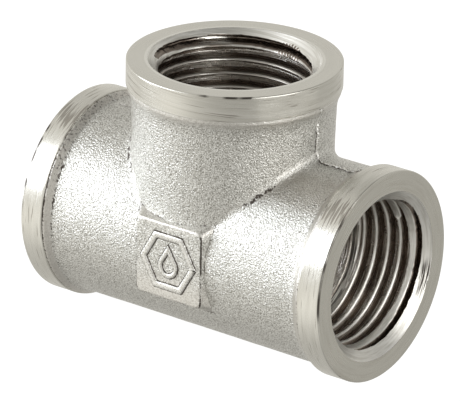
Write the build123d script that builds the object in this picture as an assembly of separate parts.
"""Equal pipe tee with three female G 1/2 ports: a one-piece hot forging in nickel-plated brass.

The forging is written as its named zones, which meet face to face and never overlap: the junction, three
barrels, three turned collars, three threaded linings, the marking pad, its emblem and the parting ridge.

Frame, in millimetres: the origin is where the run axis and the branch axis cross, +X runs along the run,
+Z points out of the branch port, and the marking pad faces -Y.
"""

from build123d import *
import math
import os

# Thread, ISO 228-1 G 1/2. The linings are bored to the minor radius.
THREAD_MAJOR_R = 20.955 / 2
THREAD_MINOR_R = 18.631 / 2
THREAD_PITCH = 1.814

# Ports, all three alike
PORT_FACE = 22.7  # centre of the tee to each port's face
COLLAR_R = 13.25
COLLAR_BAND = 3.2  # turned width behind each face
COLLAR_SLOPE = 1.25  # length of the cone from collar to barrel
RIM_BREAK = 0.15  # small chamfer on the collar's outer edge
MOUTH_R = THREAD_MAJOR_R + 0.18  # outer radius of the countersink
LINING_DEPTH = 6.25 * THREAD_PITCH  # from the face to the end of the tapped lining

# Barrels and waterway
RUN_R = 12.42
BRANCH_TOP_R = 12.5
BRANCH_FOOT_R = 12.3  # the branch tapers slightly towards the run axis
CROTCH_FILLET = 1.3
RUN_BORE_R = 9.1
BRANCH_BORE_R = 9.0
JUNCTION_REACH = 14.2  # where the junction zone ends along each axis
BARREL_END = PORT_FACE - COLLAR_BAND - COLLAR_SLOPE

# Marking pad on the front of the junction
PAD_HALF = 4.9
PAD_FACE = 12.85  # distance of the flat face from the run axis
PAD_ROOT = 10.4  # depth to which the pad's block is let into the junction
PAD_DRAFT = 25  # slope of the flanks, in degrees
PAD_CORNER = 0.7

# Emblem on the pad: a hexagon outline round a drop outline
EMBLEM_HEIGHT = 0.22
EMBLEM_SINK = 0.3
HEX_R = 4.25  # centre to corner
HEX_LINE = 0.85
DROP_R = 1.5  # radius of the drop's round end
DROP_TIP = 3.0  # from the middle of the round end to the tip
DROP_LINE = 0.65
DROP_LOWER = 0.6  # the round end sits this far below the pad's middle

# Parting ridge, where the two die halves met, in the plane of both axes
RIDGE_WIDTH = 0.6
RIDGE_PROUD = 0.22
RIDGE_SINK = 0.3

# Turns that carry a port built along +Z to its own axis
PORTS = {
    "branch": Rot(0, 0, 0),
    "right": Rot(0, 90, 0),
    "left": Rot(0, -90, 0),
}


def turned(points):
    """Solid of revolution about Z from (radius, height) points."""
    return revolve(make_face(Plane.XZ * Polyline(*points, close=True)), Axis.Z)


def collar(barrel_r):
    """Turned collar along +Z with its slope down to the barrel, solid through."""
    return turned(
        [
            (0, BARREL_END),
            (barrel_r, BARREL_END),
            (COLLAR_R, BARREL_END + COLLAR_SLOPE),
            (COLLAR_R, PORT_FACE - RIM_BREAK),
            (COLLAR_R - RIM_BREAK, PORT_FACE),
            (0, PORT_FACE),
        ]
    )


def lining():
    """Tapped lining along +Z: bored to the thread's minor radius and countersunk at the face."""
    foot = PORT_FACE - LINING_DEPTH
    countersink = MOUTH_R - THREAD_MINOR_R
    return turned(
        [
            (THREAD_MINOR_R, foot),
            (MOUTH_R, foot),
            (MOUTH_R, PORT_FACE),
            (THREAD_MINOR_R, PORT_FACE - countersink),
        ]
    )


def lining_room():
    """Plug along +Z that fills a lining and its bore."""
    return Pos(0, 0, PORT_FACE - LINING_DEPTH / 2) * Cylinder(MOUTH_R, LINING_DEPTH)


def barrels():
    """Run and branch barrels joined, with the crotch rounded, solid through."""
    run = Rot(0, 90, 0) * Cylinder(RUN_R, 2 * BARREL_END)
    branch = turned([(0, 0), (BRANCH_FOOT_R, 0), (BRANCH_TOP_R, BARREL_END), (0, BARREL_END)])
    joined = run + branch
    crotch = [e for e in joined.edges() if e.geom_type not in (GeomType.LINE, GeomType.CIRCLE)]
    return fillet(crotch, CROTCH_FILLET)


def waterway():
    """The crossing bores, with the room that the three linings take."""
    room = Rot(0, 90, 0) * Cylinder(RUN_BORE_R, 2 * PORT_FACE)
    room += Pos(0, 0, PORT_FACE / 2) * Cylinder(BRANCH_BORE_R, PORT_FACE)
    for turn in PORTS.values():
        room += turn * lining_room()
    return room


def pad_plane(distance):
    """Plane parallel to the pad's face, with its own X along the run and its own Y up."""
    return Plane(origin=(0, -distance, 0), x_dir=(1, 0, 0), z_dir=(0, -1, 0))


def pad_block():
    """Marking pad with drafted flanks, from its root in the junction to its face."""
    spread = (PAD_FACE - PAD_ROOT) * math.tan(math.radians(PAD_DRAFT))
    foot = RectangleRounded(2 * (PAD_HALF + spread), 2 * (PAD_HALF + spread), PAD_CORNER)
    face = RectangleRounded(2 * PAD_HALF, 2 * PAD_HALF, PAD_CORNER)
    return loft([pad_plane(PAD_ROOT) * foot, pad_plane(PAD_FACE) * face])


def drop(shrink):
    """Drop shape: a round end below, and two straight flanks that meet at the tip."""
    r = DROP_R - shrink
    tip = DROP_TIP * r / DROP_R
    lean = math.asin(r / tip)
    x, y = r * math.cos(lean), r * math.sin(lean)
    flanks = Polyline((-x, y), (0, tip), (x, y))
    round_end = ThreePointArc((x, y), (0, -r), (-x, y))
    return make_face(flanks + round_end)


def emblem():
    """Plain emblem raised from the pad's face."""
    hexagon = RegularPolygon(HEX_R, 6) - RegularPolygon(HEX_R - HEX_LINE / math.cos(math.pi / 6), 6)
    outline = hexagon + Pos(0, -DROP_LOWER) * (drop(0) - drop(DROP_LINE))
    return extrude(pad_plane(PAD_FACE - EMBLEM_SINK) * outline, EMBLEM_SINK + EMBLEM_HEIGHT)


def crotch_line(offset):
    """Outline of the right crotch in the XZ plane, moved out of the metal by offset."""
    corner = BRANCH_FOOT_R + (BRANCH_TOP_R - BRANCH_FOOT_R) * RUN_R / BARREL_END
    return FilletPolyline(
        (BRANCH_TOP_R + offset, BARREL_END),
        (corner + offset, RUN_R + offset),
        (BARREL_END, RUN_R + offset),
        radius=CROTCH_FILLET - offset,
    )


def parting_ridge():
    """Three strips in the plane of both axes: one through each crotch and one along the bottom."""
    outer = crotch_line(RIDGE_PROUD)
    inner = crotch_line(-RIDGE_SINK)
    ends = Line(outer @ 0, inner @ 0) + Line(outer @ 1, inner @ 1)
    strip = extrude(Plane.XZ * make_face(outer + inner + ends), RIDGE_WIDTH / 2, both=True)
    depth = RIDGE_PROUD + RIDGE_SINK
    bottom = Pos(0, 0, -RUN_R - RIDGE_PROUD + depth / 2) * Box(2 * BARREL_END, RIDGE_WIDTH, depth)
    return [strip, mirror(strip, Plane.YZ), bottom]


def block(low, high):
    """Box between two corners."""
    size = [b - a for a, b in zip(low, high)]
    middle = [(a + b) / 2 for a, b in zip(low, high)]
    return Pos(*middle) * Box(*size)


def zones():
    """Every named zone of the forging, cut so that neighbours meet face to face."""
    room = waterway()
    pad = pad_block()
    mark = emblem()
    ridge = parting_ridge()
    body = barrels() - room - pad
    for strip in ridge:
        body -= strip
    side = 2 * COLLAR_R
    cut = JUNCTION_REACH
    parts = {
        "junction": body & block((-cut, -side, -side), (cut, side, cut)),
        "left_barrel": body & block((-BARREL_END, -side, -side), (-cut, side, side)),
        "right_barrel": body & block((cut, -side, -side), (BARREL_END, side, side)),
        "branch_barrel": body & block((-cut, -side, cut), (cut, side, BARREL_END)),
        "marking_pad": pad - mark,
        "pad_emblem": mark,
        "parting_ridge": ridge,
    }
    for name, turn in PORTS.items():
        barrel_r = BRANCH_TOP_R if name == "branch" else RUN_R
        parts[name + "_collar"] = turn * (collar(barrel_r) - lining_room())
        parts[name + "_thread"] = turn * lining()
    return parts


def solids_of(shape):
    """Flat list of the solids in a shape or a list of shapes."""
    if isinstance(shape, list):
        return [s for one in shape for s in solids_of(one)]
    return list(shape.solids())


def main():
    os.makedirs("parts", exist_ok=True)
    for name, shape in zones().items():
        export_step(Compound(children=solids_of(shape)), f"parts/{name}.step")


main()
